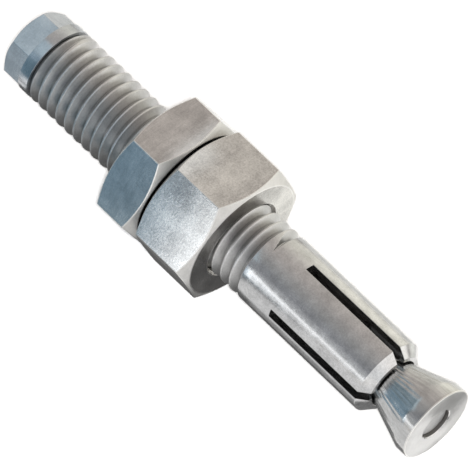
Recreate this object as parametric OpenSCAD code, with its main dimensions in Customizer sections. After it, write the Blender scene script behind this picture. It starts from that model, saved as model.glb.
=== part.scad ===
// Blind bolt: a threaded sleeve with a slotted end, a draw bolt through it, an expander cone and two nuts.
// The bolt lies on its nuts. Its axis is X, towards the cone, and Z is up.
// X = 0 is the clamping face of the full nut. Millimetres.

/* [Sleeve] */
// Outside diameter, over the thread and over the plain slotted end
sleeve_d = 10; // [9.2:0.1:12]
// Length from the face under the head to the slotted tip
sleeve_l = 57.4; // [54:0.1:80]
// Length of the sleeve behind the full nut's clamping face
sleeve_back_l = 31.8; // [24:0.1:40]
// Thread pitch
thread_pitch = 1.5; // [1:0.05:2]
// Threaded length, from the face under the head
thread_l = 37; // [34:0.1:40]
// Width of one slot
slot_w = 1.2; // [0.8:0.05:2]
// Length of one slot, from the tip
slot_l = 15.7; // [10:0.1:18]
// Number of slots around the tip
slot_count = 4; // [2:1:6]
// Size of the 45 degree bevel around the tip
tip_bevel = 1.15; // [0.6:0.05:1.4]
// How far the slots are turned about the axis; at 0 they lie on the diagonals
slot_turn = 41; // [-45:0.5:45]

/* [Draw bolt] */
// Thread diameter of the draw bolt
bolt_d = 5; // [4:0.1:5.5]
// Thread pitch of the draw bolt
bolt_pitch = 0.8; // [0.7:0.05:0.9]
// Threaded length at the tip
bolt_thread_l = 14; // [13:0.1:20]
// Width of the head across its flats
head_af = 8.5; // [7:0.1:8.6]
// Length of the head's flats
head_hex_l = 3.2; // [2:0.05:5]
// Length of the round collar under the flats
head_collar_l = 1.5; // [1:0.05:4]
// Width of the bevel around the top of the head, measured in from the flats
head_bevel = 0.2; // [0:0.05:0.6]
// How far the head is turned from a corner straight down
head_turn = -5.9; // [-30:0.1:30]
// How far the tip lies below the cone's end face
tip_recess = 0.55; // [0.45:0.05:1.5]

/* [Expander cone] */
// Whole length of the cone
cone_l = 8.15; // [7:0.1:9]
// Length of the cylindrical land at its wide end
cone_land_l = 1.55; // [0.8:0.05:3]
// How far the cone stands out of the sleeve's tip
cone_out_l = 7.2; // [6.4:0.05:7.6]
// Angle between the flank and the axis
cone_angle = 19; // [15:0.5:20]
// Number of serrations around the flank
serration_count = 44; // [24:1:60]
// Depth of a serration
serration_depth = 0.16; // [0.08:0.01:0.25]

/* [Nuts] */
// Width of both nuts across their flats
nut_af = 16.8; // [15:0.1:24]
// Height of the full nut
full_nut_h = 8.75; // [7:0.05:12]
// Height of the lock nut
lock_nut_h = 6.15; // [4:0.05:8]
// Gap between the two nuts
nut_gap = 0.35; // [0.2:0.05:2]
// Width of the bevel around a nut's faces, measured in from the flats
nut_bevel = 0.3; // [0:0.05:0.8]
// Width of the countersink around a nut's hole
nut_sink = 0.35; // [0.1:0.05:1]
// How far the lock nut is turned from the full nut
lock_nut_turn = 6.4; // [-30:0.1:30]

/* [Clearances] */
// Radial clearance of the nuts over the thread's crests
nut_clear = 0.05; // [0.02:0.01:0.2]
// Radial clearance of the draw bolt in the sleeve
bolt_clear = 0.15; // [0.05:0.01:0.3]
// Gap between the head's collar and the sleeve
collar_gap = 0.05; // [0.02:0.01:0.3]
// Radial clearance between the cone and the sleeve's mouth
mouth_clear = 0.25; // [0.2:0.01:0.4]

/* [Hidden] */
$fn = 96;
// Overlap of a cut past the face it opens
cut = 1;

// Shares of the pitch in an ISO metric thread: depth and crest outside, and how much less than its diameter
// the thread's core and a tapped hole measure
depth_share = 0.6134;
crest_share = 1 / 8;
core_share = 1.2269;
tapped_share = 1.0825;
thread_half_angle = 30;

thread_depth = depth_share * thread_pitch;
crest_w = crest_share * thread_pitch;
root_w = thread_pitch - crest_w - 2 * thread_depth * tan(thread_half_angle);
groove_count = floor((thread_l - thread_depth) / thread_pitch);

// Places along the axis
sleeve_x = -sleeve_back_l;
tip_x = sleeve_x + sleeve_l;
cone_end_x = tip_x + cone_out_l;
cone_x = cone_end_x - cone_l;
collar_x = sleeve_x - collar_gap - head_collar_l;
head_x = collar_x - head_hex_l;
bolt_tip_x = cone_end_x - tip_recess;
lock_nut_x = -full_nut_h - nut_gap - lock_nut_h;

// Sizes that follow the sleeve's and the draw bolt's
bore_d = bolt_d + 2 * bolt_clear;
bolt_core_d = bolt_d - core_share * bolt_pitch;
tapped_d = bolt_d - tapped_share * bolt_pitch;
nut_hole_d = sleeve_d + 2 * nut_clear;
cone_r = sleeve_d / 2;
flank_slope = tan(cone_angle);
cone_nose_r = cone_r - (cone_l - cone_land_l) * flank_slope;
mouth_r = cone_r - (cone_out_l - cone_land_l) * flank_slope + mouth_clear;
mouth_l = (mouth_r - bore_d / 2) / flank_slope;

// Hexagons: half the angle of a side, the turn that lays a flat down, and the slope of the bevels
hex_half_angle = 30;
flat_down = 30;
hex_bevel_slope = tan(30);

// Stands a shape that was drawn along Z on the bolt's axis, at x, turned about the axis.
module on_axis(x, turn = 0) {
    translate([x, 0, 0]) rotate([0, 90, 0]) rotate([0, 0, turn]) children();
}

// One groove of the thread, as [radius, place] pairs around its middle.
function groove(middle, r) = [
    [r, middle - (thread_pitch - crest_w) / 2],
    [r - thread_depth, middle - root_w / 2],
    [r - thread_depth, middle + root_w / 2],
    [r, middle + (thread_pitch - crest_w) / 2]
];

// Half of the sleeve's outline: a lead-in bevel, the thread's grooves, the plain end and the tip's bevel.
module sleeve_outline() {
    r = sleeve_d / 2;
    polygon(concat(
        [[0, 0], [r - thread_depth, 0], [r, thread_depth]],
        [for (i = [0 : groove_count - 1])
            each groove(thread_depth + (i + 0.5) * thread_pitch, r)],
        [[r, sleeve_l - tip_bevel], [r - tip_bevel, sleeve_l], [0, sleeve_l]]
    ));
}

module sleeve_slots() {
    for (i = [0 : slot_count - 1])
        rotate([0, 0, (i + 0.5) * 360 / slot_count])
            translate([0, -slot_w / 2, sleeve_l - slot_l])
                cube([sleeve_d, slot_w, slot_l + cut]);
}

// The mouth is tapered like the cone, which stands in it with a clearance.
module sleeve_mouth() {
    translate([0, 0, sleeve_l - mouth_l])
        cylinder(h = mouth_l + cut, r1 = bore_d / 2, r2 = mouth_r + cut * flank_slope);
}

module sleeve() {
    color("#a6a39f")
        on_axis(sleeve_x, slot_turn)
            difference() {
                rotate_extrude() sleeve_outline();
                translate([0, 0, -cut]) cylinder(h = sleeve_l + 2 * cut, d = bore_d);
                sleeve_mouth();
                sleeve_slots();
            }
}

// A hexagonal prism whose corners are bevelled to a circle of radius face_r at one end or both.
module bevelled_hex(af, h, face_r, both_ends) {
    corner_r = af / 2 / cos(hex_half_angle);
    drop = (corner_r - face_r) * hex_bevel_slope;
    top = both_ends ? [[corner_r, h - drop], [face_r, h]] : [[corner_r, h]];
    intersection() {
        cylinder(h = h, r = corner_r, $fn = 6);
        rotate_extrude() polygon(concat([[0, 0], [face_r, 0], [corner_r, drop]], top, [[0, h]]));
    }
}

module draw_bolt() {
    thread_x = bolt_tip_x - bolt_thread_l;
    core_bevel = (bolt_d - bolt_core_d) / 2;
    color("#9aa0a4") {
        on_axis(head_x, head_turn)
            bevelled_hex(head_af, head_hex_l, head_af / 2 - head_bevel, false);
        on_axis(collar_x) cylinder(h = head_collar_l, d = sleeve_d);
        on_axis(collar_x) cylinder(h = thread_x - collar_x, d = bolt_d);
        on_axis(thread_x) cylinder(h = core_bevel, d1 = bolt_d, d2 = bolt_core_d);
        on_axis(thread_x) cylinder(h = bolt_thread_l, d = bolt_core_d);
    }
}

// V-shaped cuts down the flank, from the nose to the land.
module serrations() {
    flank_l = (cone_l - cone_land_l) / cos(cone_angle);
    side = serration_depth * sqrt(2);
    for (i = [0 : serration_count - 1])
        rotate([0, 0, i * 360 / serration_count])
            translate([cone_nose_r, 0, 0])
                rotate([0, cone_angle, 0])
                    translate([0, 0, -cut])
                        rotate([0, 0, 45])
                            translate([-side / 2, -side / 2, 0])
                                cube([side, side, flank_l + cut]);
}

module expander_cone() {
    color("#a8a6a2")
        on_axis(cone_x)
            difference() {
                rotate_extrude()
                    polygon([
                        [tapped_d / 2, 0], [cone_nose_r, 0], [cone_r, cone_l - cone_land_l],
                        [cone_r, cone_l], [tapped_d / 2, cone_l]
                    ]);
                serrations();
            }
}

// A bevelled hexagon nut with a clear hole and a countersink at each end.
module hex_nut(h) {
    hole_r = nut_hole_d / 2;
    difference() {
        bevelled_hex(nut_af, h, nut_af / 2 - nut_bevel, true);
        translate([0, 0, -cut]) cylinder(h = h + 2 * cut, r = hole_r);
        cylinder(h = nut_sink, r1 = hole_r + nut_sink, r2 = hole_r);
        translate([0, 0, h - nut_sink]) cylinder(h = nut_sink, r1 = hole_r, r2 = hole_r + nut_sink);
    }
}

module full_nut() {
    color("#b3aea8") on_axis(-full_nut_h, flat_down) hex_nut(full_nut_h);
}

module lock_nut() {
    color("#a9a19a") on_axis(lock_nut_x, flat_down + lock_nut_turn) hex_nut(lock_nut_h);
}

sleeve();
draw_bolt();
expander_cone();
full_nut();
lock_nut();
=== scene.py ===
"""Looks of the blind bolt: five steel pieces in mesh code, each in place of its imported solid."""
import random
from math import asin, atan2, ceil, cos, hypot, pi, radians, sin, tan

import bmesh
import bpy
from mathutils import Matrix, Vector


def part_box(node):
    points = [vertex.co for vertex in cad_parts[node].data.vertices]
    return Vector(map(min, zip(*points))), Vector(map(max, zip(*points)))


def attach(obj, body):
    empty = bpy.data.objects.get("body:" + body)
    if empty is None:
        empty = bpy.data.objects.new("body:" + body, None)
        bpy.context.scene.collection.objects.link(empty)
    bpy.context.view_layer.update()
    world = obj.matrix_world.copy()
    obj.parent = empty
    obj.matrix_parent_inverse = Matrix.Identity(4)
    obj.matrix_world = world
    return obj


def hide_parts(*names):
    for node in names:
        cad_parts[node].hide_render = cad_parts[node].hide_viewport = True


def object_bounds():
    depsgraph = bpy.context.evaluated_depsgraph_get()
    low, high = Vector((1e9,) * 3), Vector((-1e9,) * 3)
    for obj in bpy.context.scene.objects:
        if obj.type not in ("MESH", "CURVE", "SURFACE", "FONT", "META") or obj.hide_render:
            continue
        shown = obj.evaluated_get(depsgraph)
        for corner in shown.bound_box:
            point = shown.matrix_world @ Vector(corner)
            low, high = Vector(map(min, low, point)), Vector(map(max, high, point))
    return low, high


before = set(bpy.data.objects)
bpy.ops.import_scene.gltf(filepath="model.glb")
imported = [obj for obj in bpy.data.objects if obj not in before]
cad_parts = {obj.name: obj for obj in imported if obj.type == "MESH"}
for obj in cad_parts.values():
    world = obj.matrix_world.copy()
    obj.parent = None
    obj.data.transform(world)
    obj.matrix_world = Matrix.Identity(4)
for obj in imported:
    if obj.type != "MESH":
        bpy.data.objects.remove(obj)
cad_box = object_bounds()

# Lengths are in millimetres in this script, and MM turns them into the frame's metres.
# An angle psi is counted about the bolt's axis, X, from straight up (Z) towards Y.
MM = 0.001
MICRON = 1e-6
FULL_TURN = 2 * pi


def span(node):
    """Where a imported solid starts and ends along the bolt's axis."""
    low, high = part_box(node)
    return low[0] / MM, high[0] / MM


sleeve_start, sleeve_end = span("sleeve")
bolt_start, bolt_end = span("draw_bolt")
cone_start, cone_end = span("expander_cone")
floor_z = cad_box[0][2] / MM

# Sleeve
sleeve_r = 5.0
bore_r = 2.65
thread_pitch = 1.5
thread_depth = 1.05
root_w = 0.1
crest_round = 0.05
root_round = 0.05
# A groove shallower than this is left out
least_depth = 0.01
flank_angle = radians(30)
slot_w = 1.2
slot_l = 15.7
slot_psi = radians(4)
slot_count = 4
tip_bevel = 1.15
mouth_r = 3.3045
mouth_l = 1.9
# The last groove: a place on it, over how many turns it runs out, how many turns past that place it ends,
# and how far it drifts along the axis meanwhile
groove_mark_x = 4.14
groove_mark_psi = radians(-124.5)
runout_turns = 0.14
groove_end_turns = 0.7167
runout_drift = 0.5
# The lead-in at the head: its bevel, and where along the sleeve the thread starts and has its full depth
lead_in = 0.55
run_in_from = 0.5
run_in_to = 1.1

# Draw bolt
stem_r = 2.5
core_r = 2.009
bolt_thread_l = 14.0
head_af = 8.5
head_hex_l = 3.2
head_collar_l = 1.5
head_face_r = 4.05
head_flat_psi = radians(-24.1)

# Expander cone
land_l = 1.55
cone_r = 5.0
nose_r = 2.727
tapped_r = 2.067
cone_rim = 0.16
hole_rim = 0.12
# The share of the rim at which it has a ring between its two edges, which rounds it
rim_knee = 0.3
serration_count = 44
serration_depth = 0.16
# The shares of that depth that wear leaves, from the least to the most, and the seed of their draw
serration_left = (0.15, 0.45)
serration_seed = 7
# The widest half of a serration, as a share of the step from one to the next
serration_half = 0.42
# The rings of the flank, as shares of its length, and the share from which the serrations fade out
flank_rows = (0.0, 0.35, 0.7, 0.86, 0.93, 1.0)
serration_fade = 0.7

# Nuts
nut_af = 16.8
nut_face_r = 8.1
nut_hole_r = 5.05
nut_sink = 0.35
full_nut_psi = 0.0
lock_nut_psi = radians(-6.4)
hex_bevel_slope = tan(radians(30))


def spot(x, r, psi):
    """A point at x along the axis and r from it, in metres."""
    return (x * MM, r * sin(psi) * MM, r * cos(psi) * MM)


def hex_r(af, off):
    """Distance from the axis to a hexagon's side, off being the angle from the middle of that side."""
    return af / 2 / cos(off)


# Piece making

# Points closer than this are merged.
MERGE = 2e-5
# Edges sharper than this aren't shaded smooth.
SMOOTH_ANGLE = radians(32)
# Edges sharper than this get a round, in so many segments.
ROUND_ANGLE = radians(25)
ROUND_SEGMENTS = 2
# The number that gives a round the finish of the faces beside it
SAME_FINISH = -1


def make_piece(name, verts, faces, materials, body, slot, pick):
    """A closed mesh with its doubles merged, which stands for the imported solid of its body.

    pick gives the number of a face's material by where its middle is: along the axis, from it, and psi.
    """
    mesh = bpy.data.meshes.new(name)
    mesh.from_pydata(verts, [], faces)
    shape = bmesh.new()
    shape.from_mesh(mesh)
    bmesh.ops.remove_doubles(shape, verts=shape.verts, dist=MERGE * MM)
    bmesh.ops.dissolve_degenerate(shape, edges=shape.edges, dist=MERGE * MM)
    bmesh.ops.recalc_face_normals(shape, faces=shape.faces)
    shape.to_mesh(mesh)
    shape.free()
    mesh.shade_smooth()
    mesh.set_sharp_from_angle(angle=SMOOTH_ANGLE)
    for material in materials:
        mesh.materials.append(material)
    for face in mesh.polygons:
        x, y, z = face.center / MM
        face.material_index = pick(x, hypot(y, z), atan2(y, z))
    piece = bpy.data.objects.new(name, mesh)
    bpy.context.scene.collection.objects.link(piece)
    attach(piece, body)
    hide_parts(body)
    return piece


def round_edges(piece, width, by_weight=False, finish=SAME_FINISH):
    """Small rounds along the sharp edges, as tumbling and plating leave them.

    by_weight keeps them to edges with a weight, and finish is the number of their material.
    """
    bevel = piece.modifiers.new("edge_rounds", "BEVEL")
    bevel.width = width * MM
    bevel.segments = ROUND_SEGMENTS
    bevel.limit_method = "WEIGHT" if by_weight else "ANGLE"
    bevel.angle_limit = ROUND_ANGLE
    bevel.harden_normals = True
    bevel.material = finish
    bevel.use_clamp_overlap = True


def ring_faces(rows, count, closed):
    """Quads between rings of count points each, which follow one another in the list of points."""
    faces = []
    for k in range(rows if closed else rows - 1):
        low, high = k * count, (k + 1) % rows * count
        for j in range(count):
            n = (j + 1) % count
            faces.append((low + j, low + n, high + n, high + j))
    return faces


# Sleeve

# Columns of points around the sleeve: so many cells across a slot and across a finger
SLOT_CELLS = 4
FINGER_CELLS = 20
CELLS = SLOT_CELLS + FINGER_CELLS
COLUMNS = CELLS * slot_count
# Steps of the rounds at the crest and the root of the thread
CREST_STEPS = 3
ROOT_STEPS = 2
# Grooves past the end of the thread, so that every column reaches it
SPARE_GROOVES = 3


def column_psi(c, r):
    """Angle of a column at radius r, so that the columns at a slot's walls lie in those walls."""
    quarter, cell = divmod(c, CELLS)
    edge = asin(slot_w / 2 / r)
    if cell <= SLOT_CELLS:
        off = edge * (2 * cell / SLOT_CELLS - 1)
    else:
        off = edge + (cell - SLOT_CELLS) / FINGER_CELLS * (FULL_TURN / slot_count - 2 * edge)
    return slot_psi + quarter * FULL_TURN / slot_count + off


def groove_profile(lift):
    """(offset along the axis, depth) across one groove of the thread, raised by lift as it runs out."""
    depth = thread_depth - lift
    if depth < least_depth:
        depth = 0.0
    share = depth / thread_depth
    half_top = root_w / 2 + depth * tan(flank_angle)
    side = radians(90) - flank_angle
    crest, root = crest_round * share, root_round * share
    crest_run, root_run = crest * tan(side / 2), root * tan(side / 2)
    half = []
    for k in range(CREST_STEPS + 1):
        a = side * k / CREST_STEPS
        half.append((half_top + crest_run - crest * sin(a), crest * (1 - cos(a))))
    for k in range(ROOT_STEPS + 1):
        a = side * (1 - k / ROOT_STEPS)
        half.append((root_w / 2 - root_run + root * sin(a), depth - root * (1 - cos(a))))
    return [(-o, d) for o, d in half] + [(o, d) for o, d in reversed(half)]


def smooth(t):
    """0 up to t = 0 and 1 from t = 1, with a smooth rise between."""
    t = min(max(t, 0.0), 1.0)
    return t * t * (3 - 2 * t)


def thread_rows():
    """Rows of (place along the sleeve, radius) for every column of the threaded length.

    With them come the number of rows that one groove has, and the place where the threaded length ends.
    """
    mark_s = groove_mark_x - sleeve_start
    end_s = mark_s + groove_end_turns * thread_pitch
    cap_s = end_s + thread_pitch
    start_psi = column_psi(0, sleeve_r)
    first_s = mark_s - (start_psi - groove_mark_psi) / FULL_TURN * thread_pitch
    first_s -= ceil(first_s / thread_pitch) * thread_pitch
    grooves = ceil((cap_s - first_s) / thread_pitch) + SPARE_GROOVES
    columns = []
    for c in range(COLUMNS):
        turned = (column_psi(c, sleeve_r) - start_psi) / FULL_TURN
        rows = []
        for k in range(grooves):
            middle = first_s + (k - turned) * thread_pitch
            run = smooth((middle - end_s) / (runout_turns * thread_pitch) + 1)
            run_in = smooth((run_in_to - middle) / (run_in_to - run_in_from))
            for offset, depth in groove_profile(thread_depth * max(run, run_in)):
                s = min(max(middle + runout_drift * run + offset, 0), cap_s)
                r = sleeve_r - (depth if s < cap_s else 0)
                rows.append((s, min(r, sleeve_r - lead_in + s)))
        columns.append(rows)
    return columns, len(groove_profile(0)), cap_s


def sleeve_mesh():
    """Points and faces of the sleeve, and where its threaded length ends along the axis."""
    columns, groove_rows, cap_s = thread_rows()
    count = len(columns[0])
    verts = [
        spot(sleeve_start + s, r, column_psi(c, sleeve_r))
        for c, rows in enumerate(columns) for s, r in rows
    ]
    faces = []
    for c in range(COLUMNS):
        n = (c + 1) % COLUMNS
        # The last column meets the first one a groove further back.
        back = groove_rows if n == 0 else 0
        for i in range(count - 1):
            j, k = max(i - back, 0), max(i + 1 - back, 0)
            faces.append((c * count + i, c * count + i + 1, n * count + k, n * count + j))

    def ring(x, r):
        """Adds a ring of points and gives their numbers."""
        first = len(verts)
        verts.extend(spot(x, r, column_psi(c, r)) for c in range(COLUMNS))
        return [first + c for c in range(COLUMNS)]

    def strip(one, two, cells):
        """Adds the faces between two rings, over the given cells."""
        for c in cells:
            n = (c + 1) % COLUMNS
            faces.append((one[c], one[n], two[n], two[c]))

    everywhere = range(COLUMNS)
    in_slots = [c for c in everywhere if c % CELLS < SLOT_CELLS]
    on_fingers = [c for c in everywhere if c % CELLS >= SLOT_CELLS]
    slot_x = sleeve_end - slot_l
    bevel_x = sleeve_end - tip_bevel
    mouth_x = sleeve_end - mouth_l
    cap = ring(sleeve_start + cap_s, sleeve_r)
    outer = [ring(slot_x, sleeve_r), ring(bevel_x, sleeve_r), ring(sleeve_end, sleeve_r - tip_bevel)]
    inner = [ring(slot_x, bore_r), ring(mouth_x, bore_r), ring(sleeve_end, mouth_r)]
    head_in = ring(sleeve_start, bore_r)
    head_out = [c * count for c in everywhere]
    strip(cap, outer[0], everywhere)
    strip(inner[0], head_in, everywhere)
    strip(head_in, head_out, everywhere)
    strip(outer[0], inner[0], in_slots)
    for k in (0, 1):
        strip(outer[k], outer[k + 1], on_fingers)
        strip(inner[k], inner[k + 1], on_fingers)
    strip(outer[2], inner[2], on_fingers)
    for quarter in range(slot_count):
        for c in (quarter * CELLS, quarter * CELLS + SLOT_CELLS):
            faces.append(tuple(o[c] for o in outer) + tuple(i[c] for i in reversed(inner)))
    return verts, faces, sleeve_start + cap_s


def weigh_sharp_edges(piece, from_x):
    """Marks the sharp edges past from_x for rounding, which leaves the thread as it is."""
    shape = bmesh.new()
    shape.from_mesh(piece.data)
    weight = shape.edges.layers.float.new("bevel_weight_edge")
    for edge in shape.edges:
        if all(v.co.x > from_x * MM for v in edge.verts) and len(edge.link_faces) == 2:
            if edge.calc_face_angle() > SMOOTH_ANGLE:
                edge[weight] = 1.0
    shape.to_mesh(piece.data)
    shape.free()


# Draw bolt, cone and nuts

SIDES = 6
SIDE_CELLS = 16
HEX_COLUMNS = SIDES * SIDE_CELLS
HEX_SIDE = FULL_TURN / SIDES


def hex_columns(flat_psi):
    """(angle, angle off the middle of its side) of each column around a hexagon."""
    out = []
    for j in range(HEX_COLUMNS):
        off = (j % SIDE_CELLS / SIDE_CELLS - 0.5) * HEX_SIDE
        out.append((flat_psi + j // SIDE_CELLS * HEX_SIDE + off, off))
    return out


def even_ring(x, r):
    """A ring of (x, r) that is the same all round."""
    return [(x, r)] * HEX_COLUMNS


def ring_points(rings, columns):
    """Points of rings of (x, r), one ring after another."""
    return [spot(x, r, psi) for ring in rings for (x, r), (psi, _) in zip(ring, columns)]


def nut_mesh(node, flat_psi):
    """Points and faces of a nut with bevelled corners and a countersunk hole."""
    start, end = span(node)
    columns = hex_columns(flat_psi)
    sides = [hex_r(nut_af, off) for _, off in columns]
    drops = [(r - nut_face_r) * hex_bevel_slope for r in sides]
    wide = nut_hole_r + nut_sink
    rings = [
        even_ring(start + nut_sink, nut_hole_r),
        even_ring(start, wide),
        even_ring(start, nut_face_r),
        [(start + drop, r) for drop, r in zip(drops, sides)],
        [(end - drop, r) for drop, r in zip(drops, sides)],
        even_ring(end, nut_face_r),
        even_ring(end, wide),
        even_ring(end - nut_sink, nut_hole_r),
    ]
    return ring_points(rings, columns), ring_faces(len(rings), HEX_COLUMNS, closed=True)


def draw_bolt_mesh():
    """Points and faces of the draw bolt: hexagon, collar, stem and the thinner tip."""
    columns = hex_columns(head_flat_psi)
    sides = [hex_r(head_af, off) for _, off in columns]
    ledge = bolt_start + head_hex_l
    collar_end = ledge + head_collar_l
    thread_start = bolt_end - bolt_thread_l
    core_bevel = stem_r - core_r
    rings = [
        even_ring(bolt_start, 0.0),
        even_ring(bolt_start, head_face_r),
        [(bolt_start + (r - head_face_r) * hex_bevel_slope, r) for r in sides],
        [(ledge, r) for r in sides],
        even_ring(ledge, sleeve_r),
        even_ring(collar_end, sleeve_r),
        even_ring(collar_end, stem_r),
        even_ring(thread_start, stem_r),
        even_ring(thread_start + core_bevel, core_r),
        even_ring(bolt_end, core_r),
        even_ring(bolt_end, 0.0),
    ]
    return ring_points(rings, columns), ring_faces(len(rings), HEX_COLUMNS, closed=False)


def cone_mesh():
    """Points and faces of the cone, its serrations worn to uneven depths."""
    draw = random.Random(serration_seed)
    depths = [serration_depth * draw.uniform(*serration_left) for _ in range(serration_count)]
    step = FULL_TURN / serration_count
    land_x = cone_end - land_l
    # Rings of (x, r, share of the serrations' depth)
    rings = [(cone_start, tapped_r, 0.0)]
    for t in flank_rows:
        cut = min((1.0 - t) / (1.0 - serration_fade), 1.0)
        rings.append((cone_start + t * (land_x - cone_start), nose_r + t * (cone_r - nose_r), cut))
    rings += [
        (cone_end - cone_rim, cone_r, 0.0),
        (cone_end - cone_rim * rim_knee, cone_r - cone_rim * rim_knee, 0.0),
        (cone_end, cone_r - cone_rim, 0.0),
        (cone_end, tapped_r + hole_rim, 0.0),
        (cone_end - hole_rim, tapped_r, 0.0),
    ]
    verts = []
    for x, r, cut in rings:
        half = min(serration_depth / r, serration_half * step)
        # A serration's columns: its two edges around its root, and the middle of the land beside it
        columns = ((-half, 0.0), (0.0, cut), (half, 0.0), (step / 2, 0.0))
        for i, depth in enumerate(depths):
            verts.extend(spot(x, r - depth * share, i * step + off) for off, share in columns)
    return verts, ring_faces(len(rings), serration_count * len(columns), closed=True)


# Materials

NOISE_ROUGHNESS = 0.6
# The fine grain of all steels, in cells per metre
SPECK_CELLS = 4500.0
# The range of the pattern over which the roughness rises, and how far it lies below and above its middle
PATTERN_RANGE = (0.3, 0.7)
ROUGHNESS_LESS = 0.05
ROUGHNESS_MORE = 0.07
# Painted shade towards the axis, as in a thread's roots, and wear: how much they darken and brighten, and
# how far they take to do so
ROOT_SHADE_TONE = 0.6
ROOT_SHADE_FADE = 0.25
WEAR_TONE = 1.1
WEAR_FADE = 0.05


def add(tree, kind, **values):
    """A node with its properties and unlinked inputs set."""
    node = tree.nodes.new(kind)
    for name, value in values.items():
        if hasattr(node, name):
            setattr(node, name, value)
        else:
            node.inputs[name.replace("_", " ")].default_value = value
    return node


def mix_values(tree, share, one, two):
    """One value mixed with another, which has the given share."""
    mix = add(tree, "ShaderNodeMix", data_type="FLOAT")
    mix.inputs["Factor"].default_value = share
    tree.links.new(one, mix.inputs["A"])
    tree.links.new(two, mix.inputs["B"])
    return mix.outputs["Result"]


def noise(tree, place, scale, detail=3.0, stretch=None):
    """Noise over a place, with scale cells per metre, drawn out along the axes by stretch."""
    if stretch:
        drawn = add(tree, "ShaderNodeMapping")
        drawn.inputs["Scale"].default_value = stretch
        tree.links.new(place, drawn.inputs["Vector"])
        place = drawn.outputs["Vector"]
    cells = add(tree, "ShaderNodeTexNoise", Scale=scale, Detail=detail, Roughness=NOISE_ROUGHNESS)
    tree.links.new(place, cells.inputs["Vector"])
    return cells.outputs["Fac"]


def axis_distance(tree, place):
    """Distance from the bolt's axis, in metres."""
    across = add(tree, "ShaderNodeVectorMath", operation="MULTIPLY")
    across.inputs[1].default_value = (0, 1, 1)
    tree.links.new(place, across.inputs[0])
    length = add(tree, "ShaderNodeVectorMath", operation="LENGTH")
    tree.links.new(across.outputs["Vector"], length.inputs[0])
    return length.outputs["Value"]


def value_range(tree, value, from_low, from_high, to_low, to_high, interpolation="LINEAR"):
    """A value carried from one range to another, and held at its ends."""
    change = add(tree, "ShaderNodeMapRange", interpolation_type=interpolation)
    sockets = ("From Min", "From Max", "To Min", "To Max")
    for socket, number in zip(sockets, (from_low, from_high, to_low, to_high)):
        change.inputs[socket].default_value = number
    tree.links.new(value, change.inputs["Value"])
    return change.outputs["Result"]


def scaled(tree, colour, value):
    """A colour times a value."""
    scale = add(tree, "ShaderNodeVectorMath", operation="SCALE")
    tree.links.new(colour, scale.inputs[0])
    tree.links.new(value, scale.inputs["Scale"])
    return scale.outputs["Vector"]


def steel(name, dark, light, roughness, streaks=0.3, specks=0.2, lines=1.0, grain=1.0,
          stretch=(6000.0, 250.0, 250.0), clouds=450.0, waves=0.0, spread=0.15,
          root_shade_r=None, worn_r=None):
    """Zinc-plated steel: cloudy patches, streaks of the tool or brush and a fine grain.

    streaks and specks are their shares in the tone, and a narrow spread makes it patchy. lines, grain and
    waves are the heights of streaks, specks and clouds as bumps, in micrometres. stretch and clouds are the
    cells per metre of streaks and clouds. A painted shade darkens what lies closer to the axis than the
    shade radius, as in the roots of a thread, and wear brightens what lies further from it than worn_r.
    """
    material = bpy.data.materials.new(name)
    material.use_nodes = True
    tree = material.node_tree
    link = tree.links.new
    shader = tree.nodes["Principled BSDF"]
    shader.inputs["Metallic"].default_value = 1.0
    place = add(tree, "ShaderNodeTexCoord").outputs["Object"]
    streak = noise(tree, place, 1.0, stretch=stretch)
    speck = noise(tree, place, SPECK_CELLS, detail=2.0)
    cloud = noise(tree, place, clouds, detail=5.0)
    pattern = mix_values(tree, specks, mix_values(tree, streaks, cloud, streak), speck)

    tone = add(tree, "ShaderNodeValToRGB")
    tone.color_ramp.elements[0].position = 0.5 - spread
    tone.color_ramp.elements[0].color = (*dark, 1)
    tone.color_ramp.elements[1].position = 0.5 + spread
    tone.color_ramp.elements[1].color = (*light, 1)
    link(pattern, tone.inputs["Fac"])
    colour = tone.outputs["Color"]
    # Painted shade: darker towards the axis, as shade in a thread's roots
    if root_shade_r:
        reach = (root_shade_r - ROOT_SHADE_FADE) * MM, root_shade_r * MM
        colour = scaled(tree, colour, value_range(tree, axis_distance(tree, place), *reach, ROOT_SHADE_TONE, 1.0))
    if worn_r:
        reach = worn_r * MM, (worn_r + WEAR_FADE) * MM
        colour = scaled(tree, colour, value_range(tree, axis_distance(tree, place), *reach, 1.0, WEAR_TONE))
    link(colour, shader.inputs["Base Color"])
    rough = roughness - ROUGHNESS_LESS, roughness + ROUGHNESS_MORE
    link(value_range(tree, pattern, *PATTERN_RANGE, *rough), shader.inputs["Roughness"])

    fine = add(tree, "ShaderNodeBump", Distance=grain * MICRON)
    link(speck, fine.inputs["Height"])
    ridges = add(tree, "ShaderNodeBump", Distance=lines * MICRON)
    link(streak, ridges.inputs["Height"])
    link(fine.outputs["Normal"], ridges.inputs["Normal"])
    rolls = add(tree, "ShaderNodeBump", Distance=waves * MICRON)
    link(cloud, rolls.inputs["Height"])
    link(ridges.outputs["Normal"], rolls.inputs["Normal"])
    link(rolls.outputs["Normal"], shader.inputs["Normal"])
    return material


FLOOR_TONES = (0.77, 0.79)
FLOOR_ROUGHNESS = 0.9
FLOOR_SPECULAR = 0.1
FLOOR_CELLS = 30.0


def floor_material():
    """A pale matt floor, very slightly mottled."""
    material = bpy.data.materials.new("studio_floor")
    material.use_nodes = True
    tree = material.node_tree
    shader = tree.nodes["Principled BSDF"]
    shader.inputs["Roughness"].default_value = FLOOR_ROUGHNESS
    shader.inputs["Specular IOR Level"].default_value = FLOOR_SPECULAR
    place = add(tree, "ShaderNodeTexCoord").outputs["Object"]
    mottle = add(tree, "ShaderNodeTexNoise", Scale=FLOOR_CELLS, Detail=2.0)
    tree.links.new(place, mottle.inputs["Vector"])
    tone = add(tree, "ShaderNodeValToRGB")
    for element, value in zip(tone.color_ramp.elements, FLOOR_TONES):
        element.color = (value, value, value, 1)
    tree.links.new(mottle.outputs["Fac"], tone.inputs["Fac"])
    tree.links.new(tone.outputs["Color"], shader.inputs["Base Color"])
    return material


# Pieces

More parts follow.
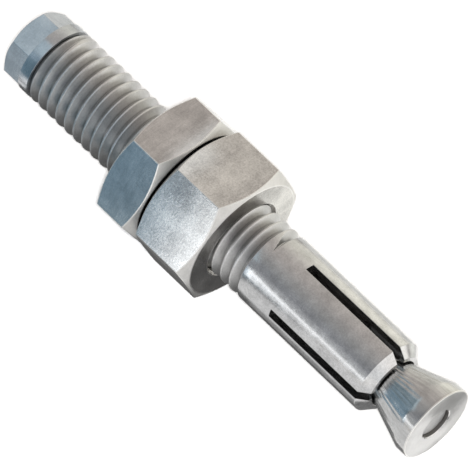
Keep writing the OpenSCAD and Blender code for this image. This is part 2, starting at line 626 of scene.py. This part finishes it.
# Streaks along the cone's flank and across the nuts' flats, in cells per metre
ALONG_FLANK = (250.0, 2500.0, 2500.0)
ACROSS_FLATS = (3000.0, 300.0, 300.0)
# The thread's roots are painted darker as shade.
thread_steel = steel(
    "thread_steel", (0.50, 0.495, 0.49), (0.67, 0.665, 0.66), roughness=0.38, specks=0.4,
    lines=0.2, grain=1.2, root_shade_r=4.2, worn_r=4.9,
)
sleeve_steel = steel(
    "sleeve_steel", (0.44, 0.44, 0.44), (0.64, 0.64, 0.64), roughness=0.20, streaks=0.05, specks=0.35,
    lines=0.0, grain=1.2, clouds=700.0, waves=8.0,
)
bolt_steel = steel(
    "bolt_steel", (0.45, 0.47, 0.49), (0.63, 0.65, 0.67), roughness=0.23, streaks=0.1, specks=0.2,
    lines=0.15, grain=0.5, clouds=350.0, waves=12.0, spread=0.1,
)
# The stem inside the sleeve, painted dark as shade
stem_shade = steel("stem_shade", (0.14, 0.135, 0.13), (0.24, 0.235, 0.23), roughness=0.45, lines=0.3)
tip_steel = steel("tip_steel", (0.46, 0.46, 0.46), (0.60, 0.60, 0.60), roughness=0.55, lines=0.0)
# The wall where the last groove runs out, painted dark as shade
runout_shade = steel("runout_shade", (0.06, 0.058, 0.055), (0.11, 0.107, 0.103), roughness=0.60, lines=0.0)
# The wall of the cone's hole, painted dark as shade
hole_shade = steel("hole_shade", (0.18, 0.17, 0.16), (0.28, 0.27, 0.26), roughness=0.50, lines=0.0)
cone_steel = steel(
    "cone_steel", (0.42, 0.42, 0.415), (0.62, 0.62, 0.615), roughness=0.20, streaks=0.5, specks=0.1,
    lines=1.6, stretch=ALONG_FLANK,
)
face_steel = steel(
    "face_steel", (0.46, 0.46, 0.455), (0.60, 0.60, 0.595), roughness=0.30, streaks=0.1, specks=0.2,
    lines=0.0, grain=0.3, waves=6.0,
)
nut_steel = steel(
    "nut_steel", (0.38, 0.37, 0.36), (0.72, 0.705, 0.685), roughness=0.21, streaks=0.12, specks=0.3,
    lines=0.8, grain=5.5, stretch=ACROSS_FLATS, clouds=200.0, waves=10.0, spread=0.11,
)
# The nuts' bevels: a rougher turned finish, and a lighter tone that is painted light
bevel_painted_light = steel(
    "bevel_painted_light", (0.63, 0.62, 0.60), (0.81, 0.80, 0.78), roughness=0.53, streaks=0.1, specks=0.2,
    lines=0.2,
)
# Rounded edges of the nuts and the cone's rim, painted light as a highlight
edge_highlight = steel(
    "edge_highlight", (0.70, 0.69, 0.67), (0.86, 0.85, 0.83), roughness=0.35, streaks=0.1, specks=0.2,
    lines=0.2,
)
lock_steel = steel(
    "lock_steel", (0.42, 0.41, 0.40), (0.66, 0.645, 0.63), roughness=0.19, streaks=0.25, specks=0.2,
    lines=0.8, grain=1.0, stretch=ACROSS_FLATS, clouds=250.0, waves=8.0, spread=0.12,
)

# Numbers of the materials of each piece, in their order there
PLAIN, THREADED, RUNOUT_SHADE = range(3)
HEAD, STEM, TIP = range(3)
FLANK, END_FACE, HOLE, RIM = range(4)
FLATS, BEVELS, EDGES = range(3)

# Widths of the rounds on sharp edges
SLEEVE_ROUND = 0.06
BOLT_ROUND = 0.07
NUT_ROUND = 0.09

# How far a face's middle may lie off a surface that it belongs to
TOUCH = 0.01
# How far past the marked place of the last groove everything counts as thread
THREAD_PAST_MARK = 0.3
# What lies deeper than this belongs to a groove, and what lies this far past its middle to its far wall,
# which is painted dark as shade where the last groove runs out.
GROOVE_SKIN = 0.04
FAR_WALL = 0.08
# How far back the tip's finish reaches on the draw bolt, and how far off the stem a face counts as its own
TIP_L = 0.3
STEM_SKIN = 0.1

sleeve_verts, sleeve_faces, plain_x = sleeve_mesh()


def sleeve_finish(x, r, psi):
    """Plain, threaded, or the wall where the last groove ends, painted dark as shade."""
    turns = (groove_mark_psi - psi) / FULL_TURN % 1
    run = smooth((turns - groove_end_turns) / runout_turns + 1)
    middle_x = groove_mark_x + turns * thread_pitch + runout_drift * run
    in_groove = x < plain_x and r < sleeve_r - GROOVE_SKIN
    if in_groove and x > middle_x + FAR_WALL and 0 < run < 1:
        return RUNOUT_SHADE
    return THREADED if in_groove or x < groove_mark_x + THREAD_PAST_MARK else PLAIN


def bolt_finish(x, r, psi):
    """Head, stem painted dark as shade inside the sleeve, or tip."""
    if x > bolt_end - TIP_L:
        return TIP
    return STEM if r < stem_r + STEM_SKIN and x > sleeve_start else HEAD


def cone_finish(x, r, psi):
    """Flank, end face, hole wall painted dark as shade, or rim painted light as a highlight."""
    if r < tapped_r + TOUCH:
        return HOLE
    if x > cone_end - TOUCH:
        return END_FACE
    return RIM if x > cone_end - cone_rim and r > cone_r - cone_rim else FLANK


def nut_finish(flat_psi):
    """What picks a nut's finish: flats and faces, or bevels painted lighter as light."""
    def pick(x, r, psi):
        off = (psi - flat_psi + HEX_SIDE / 2) % HEX_SIDE - HEX_SIDE / 2
        return BEVELS if r > nut_face_r and r * cos(off) < nut_af / 2 - TOUCH else FLATS
    return pick


def make_nut(name, node, material, flat_psi):
    """A nut with rounded edges, painted light as a highlight."""
    nut = make_piece(
        name, *nut_mesh(node, flat_psi), [material, bevel_painted_light, edge_highlight], node, "nut_steel",
        nut_finish(flat_psi),
    )
    round_edges(nut, NUT_ROUND, finish=EDGES)
    return nut


sleeve = make_piece(
    "threaded_sleeve", sleeve_verts, sleeve_faces, [sleeve_steel, thread_steel, runout_shade],
    "sleeve", "sleeve_steel", sleeve_finish,
)
weigh_sharp_edges(sleeve, plain_x)
round_edges(sleeve, SLEEVE_ROUND, by_weight=True)
bolt = make_piece(
    "hex_draw_bolt", *draw_bolt_mesh(), [bolt_steel, stem_shade, tip_steel],
    "draw_bolt", "bolt_steel", bolt_finish,
)
round_edges(bolt, BOLT_ROUND)
cone = make_piece(
    "serrated_cone", *cone_mesh(), [cone_steel, face_steel, hole_shade, edge_highlight],
    "expander_cone", "cone_steel", cone_finish,
)
full_nut = make_nut("hex_full_nut", "full_nut", nut_steel, full_nut_psi)
lock_nut = make_nut("hex_lock_nut", "lock_nut", lock_steel, lock_nut_psi)

# Studio: floor, light and camera

FLOOR_SIZE = 4000.0

# Light of the studio from high up and from low down: how far its direction points along Y, and its colour
HIGH_LIGHT = [
    (-1.00, (0.39, 0.42, 0.46)),
    (-0.75, (0.44, 0.45, 0.48)),
    (-0.50, (0.56, 0.56, 0.56)),
    (-0.20, (0.71, 0.68, 0.66)),
    (0.10, (0.77, 0.71, 0.67)),
    (0.40, (0.83, 0.77, 0.72)),
    (0.66, (1.16, 1.10, 1.00)),
    (0.90, (1.26, 1.22, 1.08)),
]
LOW_LIGHT = [
    (-0.90, (0.34, 0.36, 0.38)),
    (-0.20, (0.36, 0.38, 0.40)),
    (0.20, (0.70, 0.70, 0.68)),
    (0.90, (1.20, 1.16, 1.05)),
]
# Between these heights of a direction the low light gives way to the high one.
LOW_TO_HIGH = (0.22, 0.42)
# Between these places of a direction along X its strength goes from the first to the second.
BACK_TO_FRONT = (-0.2, 0.15)
SIDE_STRENGTHS = (0.8, 0.7)
# Sockets of a Mix node that mixes colours
COLOUR_A, COLOUR_B, COLOUR_RESULT = 6, 7, 2

# The floor's own light, which hangs where the camera is: its direction and distance from the place that it
# is aimed at, that place, its power, its beam and how softly that ends, and the lamp's radius
TO_CAMERA = Vector((0.366, -0.527, 0.767))
CAMERA_AWAY = 845.0
FLOOR_MIDDLE = (-3.0, 8.0)
FLOOR_POWER = 42.0
FLOOR_BEAM = radians(14)
FLOOR_BLEND = 0.6
FLOOR_LAMP_R = 30.0

WHITE = (1.0, 1.0, 1.0)
CREAM = (1.0, 1.0, 0.86)
DARK_GREY = (0.13, 0.13, 0.13)
DULL_BLUE = (0.20, 0.28, 0.33)
DEEP_BLUE = (0.18, 0.28, 0.35)
PALE = (0.85, 0.85, 0.82)
# Upright cards of light: place, width, lowest and highest edge, radiance, colour
LIGHT_CARDS = {
    "white_card": ((42.5, -55), 115, (-2, 13), 0.65, WHITE),
    "nut_card": ((-17.6, -55), 8, (-6, 15), 2.5, WHITE),
    "dim_card": ((42.5, -55), 115, (13, 30), 0.28, WHITE),
    "band_card": ((42.5, -54.5), 115, (6.5, 11.5), 1.3, WHITE),
    "bright_card": ((100, 20), 240, (floor_z, 60), 0.85, WHITE),
    "cream_card": ((14, 55), 52, (-5, 30), 0.35, CREAM),
}
# Reflectors on the floor, seen only in the steel: the darker ones are painted shade under and beside the
# bolt. Two corners, colour
FLOOR_REFLECTORS = {
    "dark_under_bolt": ((-42, -5.8), (4, 4.5), DARK_GREY),
    "dark_under_sleeve": ((4, -4.8), (22, 4.5), DARK_GREY),
    "dark_under_cone": ((22, -6.5), (33, 4.5), (0.24, 0.24, 0.24)),
    "dark_by_thread": ((-35.5, -7.6), (-14, -5.8), DARK_GREY),
    "white_by_thread": ((-38, -11), (-14, -7.6), (0.55, 0.55, 0.55)),
    "blue_by_thread": ((-35.5, -95), (-14, -11), DULL_BLUE),
    "dark_by_nuts": ((-14, -8.0), (4, -5.8), (0.20, 0.20, 0.20)),
    "grey_by_nuts": ((-14, -60), (-5, -8.0), (0.36, 0.37, 0.38)),
    "grey_by_sleeve": ((4, -8.0), (22, -4.8), (0.36, 0.36, 0.36)),
    "white_in_front": ((-5, -60), (60, -8.0), (0.92, 0.92, 0.92)),
    "grey_by_head": ((-75, -18), (-38, -5.8), (0.48, 0.55, 0.60)),
    "blue_by_head": ((-110, -95), (-35.5, -18), DEEP_BLUE),
    "dark_by_tip": ((36, -8.0), (95, -3.0), (0.30, 0.30, 0.30)),
    "grey_by_tip": ((35.8, 6.5), (50, 20), (0.40, 0.40, 0.39)),
    "bright_by_nut": ((-2, 7), (16, 22), (1.10, 1.10, 1.05)),
    "white_behind": ((-80, 22), (60, 28), PALE),
    "bright_behind": ((-80, 28), (14, 80), PALE),
    "bright_beyond": ((14, 28), (80, 80), (1.20, 1.20, 1.13)),
}
# How high they lie over the floor
REFLECTOR_GAP = 0.05
# Standing reflectors: two places on the floor plan, lowest and highest edge, colour
STANDING_REFLECTORS = {
    "blue_by_nuts": ((-36, -40), (-30, -95), (floor_z, 14), (0.25, 0.39, 0.51)),
    "blue_by_collar": ((-110, -60), (-45, -60), (floor_z, 22), DEEP_BLUE),
    "blue_over_collar": ((-110, -60), (-45, -60), (22, 48), (0.32, 0.43, 0.52)),
    "blue_by_cone": ((-120, -140), (-120, -12), (10, 108), DULL_BLUE),
}
# Level reflectors overhead: two corners, height, colour
OVERHEAD_REFLECTORS = {
    "blue_above_head": ((-160, -120), (-62, -15), 100, (0.62, 0.75, 0.83)),
    "white_above_nut": ((-14.5, -1), (-11.2, 7.5), 18.4, (1.14, 1.14, 1.12)),
}


def make_floor():
    """The floor that the bolt lies on."""
    bpy.ops.mesh.primitive_plane_add(size=FLOOR_SIZE * MM, location=(0, 0, floor_z * MM))
    plane = bpy.context.object
    plane.name = "studio_floor"
    plane.data.materials.append(floor_material())
    return plane


def light_ramp(tree, value, stops):
    """A ramp of light colours over one component of a direction, from -1 to 1."""
    ramp = add(tree, "ShaderNodeValToRGB")
    elements = ramp.color_ramp.elements
    while len(elements) < len(stops):
        elements.new(0.5)
    for element, (at, colour) in zip(elements, stops):
        element.position = (at + 1) / 2
        element.color = (*colour, 1)
    tree.links.new(value_range(tree, value, -1.0, 1.0, 0.0, 1.0), ramp.inputs["Fac"])
    return ramp.outputs["Color"]


def studio_light():
    """Light of the studio by direction: cool and dim towards -Y, warm and bright towards +Y."""
    world = bpy.data.worlds.new("studio")
    bpy.context.scene.world = world
    world.use_nodes = True
    tree = world.node_tree
    link = tree.links.new
    parts = add(tree, "ShaderNodeSeparateXYZ")
    link(add(tree, "ShaderNodeTexCoord").outputs["Generated"], parts.inputs["Vector"])
    sky = add(tree, "ShaderNodeMix", data_type="RGBA")
    height = value_range(tree, parts.outputs["Z"], *LOW_TO_HIGH, 0.0, 1.0, "SMOOTHSTEP")
    link(height, sky.inputs["Factor"])
    link(light_ramp(tree, parts.outputs["Y"], LOW_LIGHT), sky.inputs[COLOUR_A])
    link(light_ramp(tree, parts.outputs["Y"], HIGH_LIGHT), sky.inputs[COLOUR_B])
    strength = value_range(tree, parts.outputs["X"], *BACK_TO_FRONT, *SIDE_STRENGTHS, "SMOOTHSTEP")
    background = tree.nodes["Background"]
    link(sky.outputs[COLOUR_RESULT], background.inputs["Color"])
    link(strength, background.inputs["Strength"])


def put_light(name, light, place, target):
    """A light at place, aimed at target. The camera doesn't see it."""
    lamp = bpy.data.objects.new(name, light)
    lamp.visible_camera = False
    bpy.context.scene.collection.objects.link(lamp)
    away = Vector(place) - Vector(target)
    turn = away.to_track_quat("Z", "Y").to_matrix().to_4x4()
    lamp.matrix_world = Matrix.Translation(Vector(place) * MM) @ turn
    return lamp


def only_for(lamp, *objects):
    """Keeps a light to the given objects."""
    lit = bpy.data.collections.new(lamp.name)
    for thing in objects:
        lit.objects.link(thing)
    lamp.light_linking.receiver_collection = lit


def floor_light():
    """A soft light for the floor alone, so that the floor around the bolt is white."""
    light = bpy.data.lights.new("floor_light", "SPOT")
    light.energy = FLOOR_POWER
    light.spot_size = FLOOR_BEAM
    light.spot_blend = FLOOR_BLEND
    light.shadow_soft_size = FLOOR_LAMP_R * MM
    middle = Vector((*FLOOR_MIDDLE, floor_z))
    only_for(put_light("floor_light", light, middle + CAMERA_AWAY * TO_CAMERA, middle), floor)


def light_card(name, place, wide, heights, radiance, colour):
    """An upright rectangle of light that stands beside the bolt, faces it and lights it alone."""
    x, y = place
    low, high = heights
    middle = (low + high) / 2
    light = bpy.data.lights.new(name, "AREA")
    light.shape = "RECTANGLE"
    light.size, light.size_y = wide * MM, (high - low) * MM
    light.energy = radiance * pi * light.size * light.size_y
    light.color = colour
    target = (x, 0.0, middle) if abs(y) > abs(x) else (0.0, y, middle)
    only_for(put_light(name, light, (x, y, middle), target), sleeve, bolt, cone, full_nut, lock_nut)


def reflector(name, corners, colour):
    """A glowing card that shows only in the steel's reflections."""
    material = bpy.data.materials.new(name)
    material.use_nodes = True
    tree = material.node_tree
    glow = add(tree, "ShaderNodeEmission", Color=(*colour, 1))
    tree.links.new(glow.outputs["Emission"], tree.nodes["Material Output"].inputs["Surface"])
    mesh = bpy.data.meshes.new(name)
    mesh.from_pydata([Vector(corner) * MM for corner in corners], [], [(0, 1, 2, 3)])
    mesh.materials.append(material)
    sheet = bpy.data.objects.new(name, mesh)
    bpy.context.scene.collection.objects.link(sheet)
    sheet.visible_camera = False
    sheet.visible_diffuse = False
    sheet.visible_shadow = False


def level_reflector(name, low, high, z, colour):
    """A reflector that lies level at height z, between two corners."""
    (x0, y0), (x1, y1) = low, high
    reflector(name, [(x0, y0, z), (x1, y0, z), (x1, y1, z), (x0, y1, z)], colour)


def standing_reflector(name, one, two, heights, colour):
    """A reflector that stands between two places."""
    low, high = heights
    reflector(name, [(*one, low), (*two, low), (*two, high), (*one, high)], colour)


floor = make_floor()
studio_light()
floor_light()
for name, values in LIGHT_CARDS.items():
    light_card(name, *values)
for name, (low, high, colour) in FLOOR_REFLECTORS.items():
    level_reflector(name, low, high, floor_z + REFLECTOR_GAP, colour)
for name, values in STANDING_REFLECTORS.items():
    standing_reflector(name, *values)
for name, values in OVERHEAD_REFLECTORS.items():
    level_reflector(name, *values)

# The photograph's view: the bolt's axis points down to the right and towards the camera.
IMAGE_PX = 472
SENSOR = 36.0
CLIP_START = 10.0
# The point mark_x on the axis is seen at mark_px, at this scale. axis_lean is the angle between the axis
# and the way to the camera, axis_slant its slope in the picture, and axis_roll the bolt's turn about it.
focal_px = 7244.0
px_per_mm = 8.569
mark_px = (101.7, 106.3)
mark_x = -24.24
axis_lean = radians(68.56)
axis_slant = radians(43.56)
axis_roll = radians(34.47)


def set_camera():
    """The camera of the photograph's view, from the bolt's axes as seen there: right, down and away."""
    centre = IMAGE_PX / 2
    across = sin(axis_lean)
    along = Vector((across * cos(axis_slant), across * sin(axis_slant), -cos(axis_lean)))
    beside = Vector((sin(axis_slant), -cos(axis_slant), 0.0))
    over = along.cross(beside)
    axes = (
        along,
        cos(axis_roll) * beside - sin(axis_roll) * over,
        sin(axis_roll) * beside + cos(axis_roll) * over,
    )
    base = Vector((mark_px[0] - centre, mark_px[1] - centre, focal_px)) / px_per_mm
    place = Vector((mark_x, 0, 0)) - Vector([axis.dot(base) for axis in axes])
    turn = Matrix([(axis.x, -axis.y, -axis.z) for axis in axes])
    data = bpy.data.cameras.new("photo_view")
    data.sensor_width = SENSOR
    data.lens = focal_px * SENSOR / IMAGE_PX
    data.clip_start = CLIP_START * MM
    camera = bpy.data.objects.new("photo_view", data)
    bpy.context.scene.collection.objects.link(camera)
    camera.matrix_world = Matrix.Translation(place * MM) @ turn.to_4x4()
    bpy.context.scene.camera = camera


set_camera()
bpy.context.scene.view_settings.view_transform = "Standard"
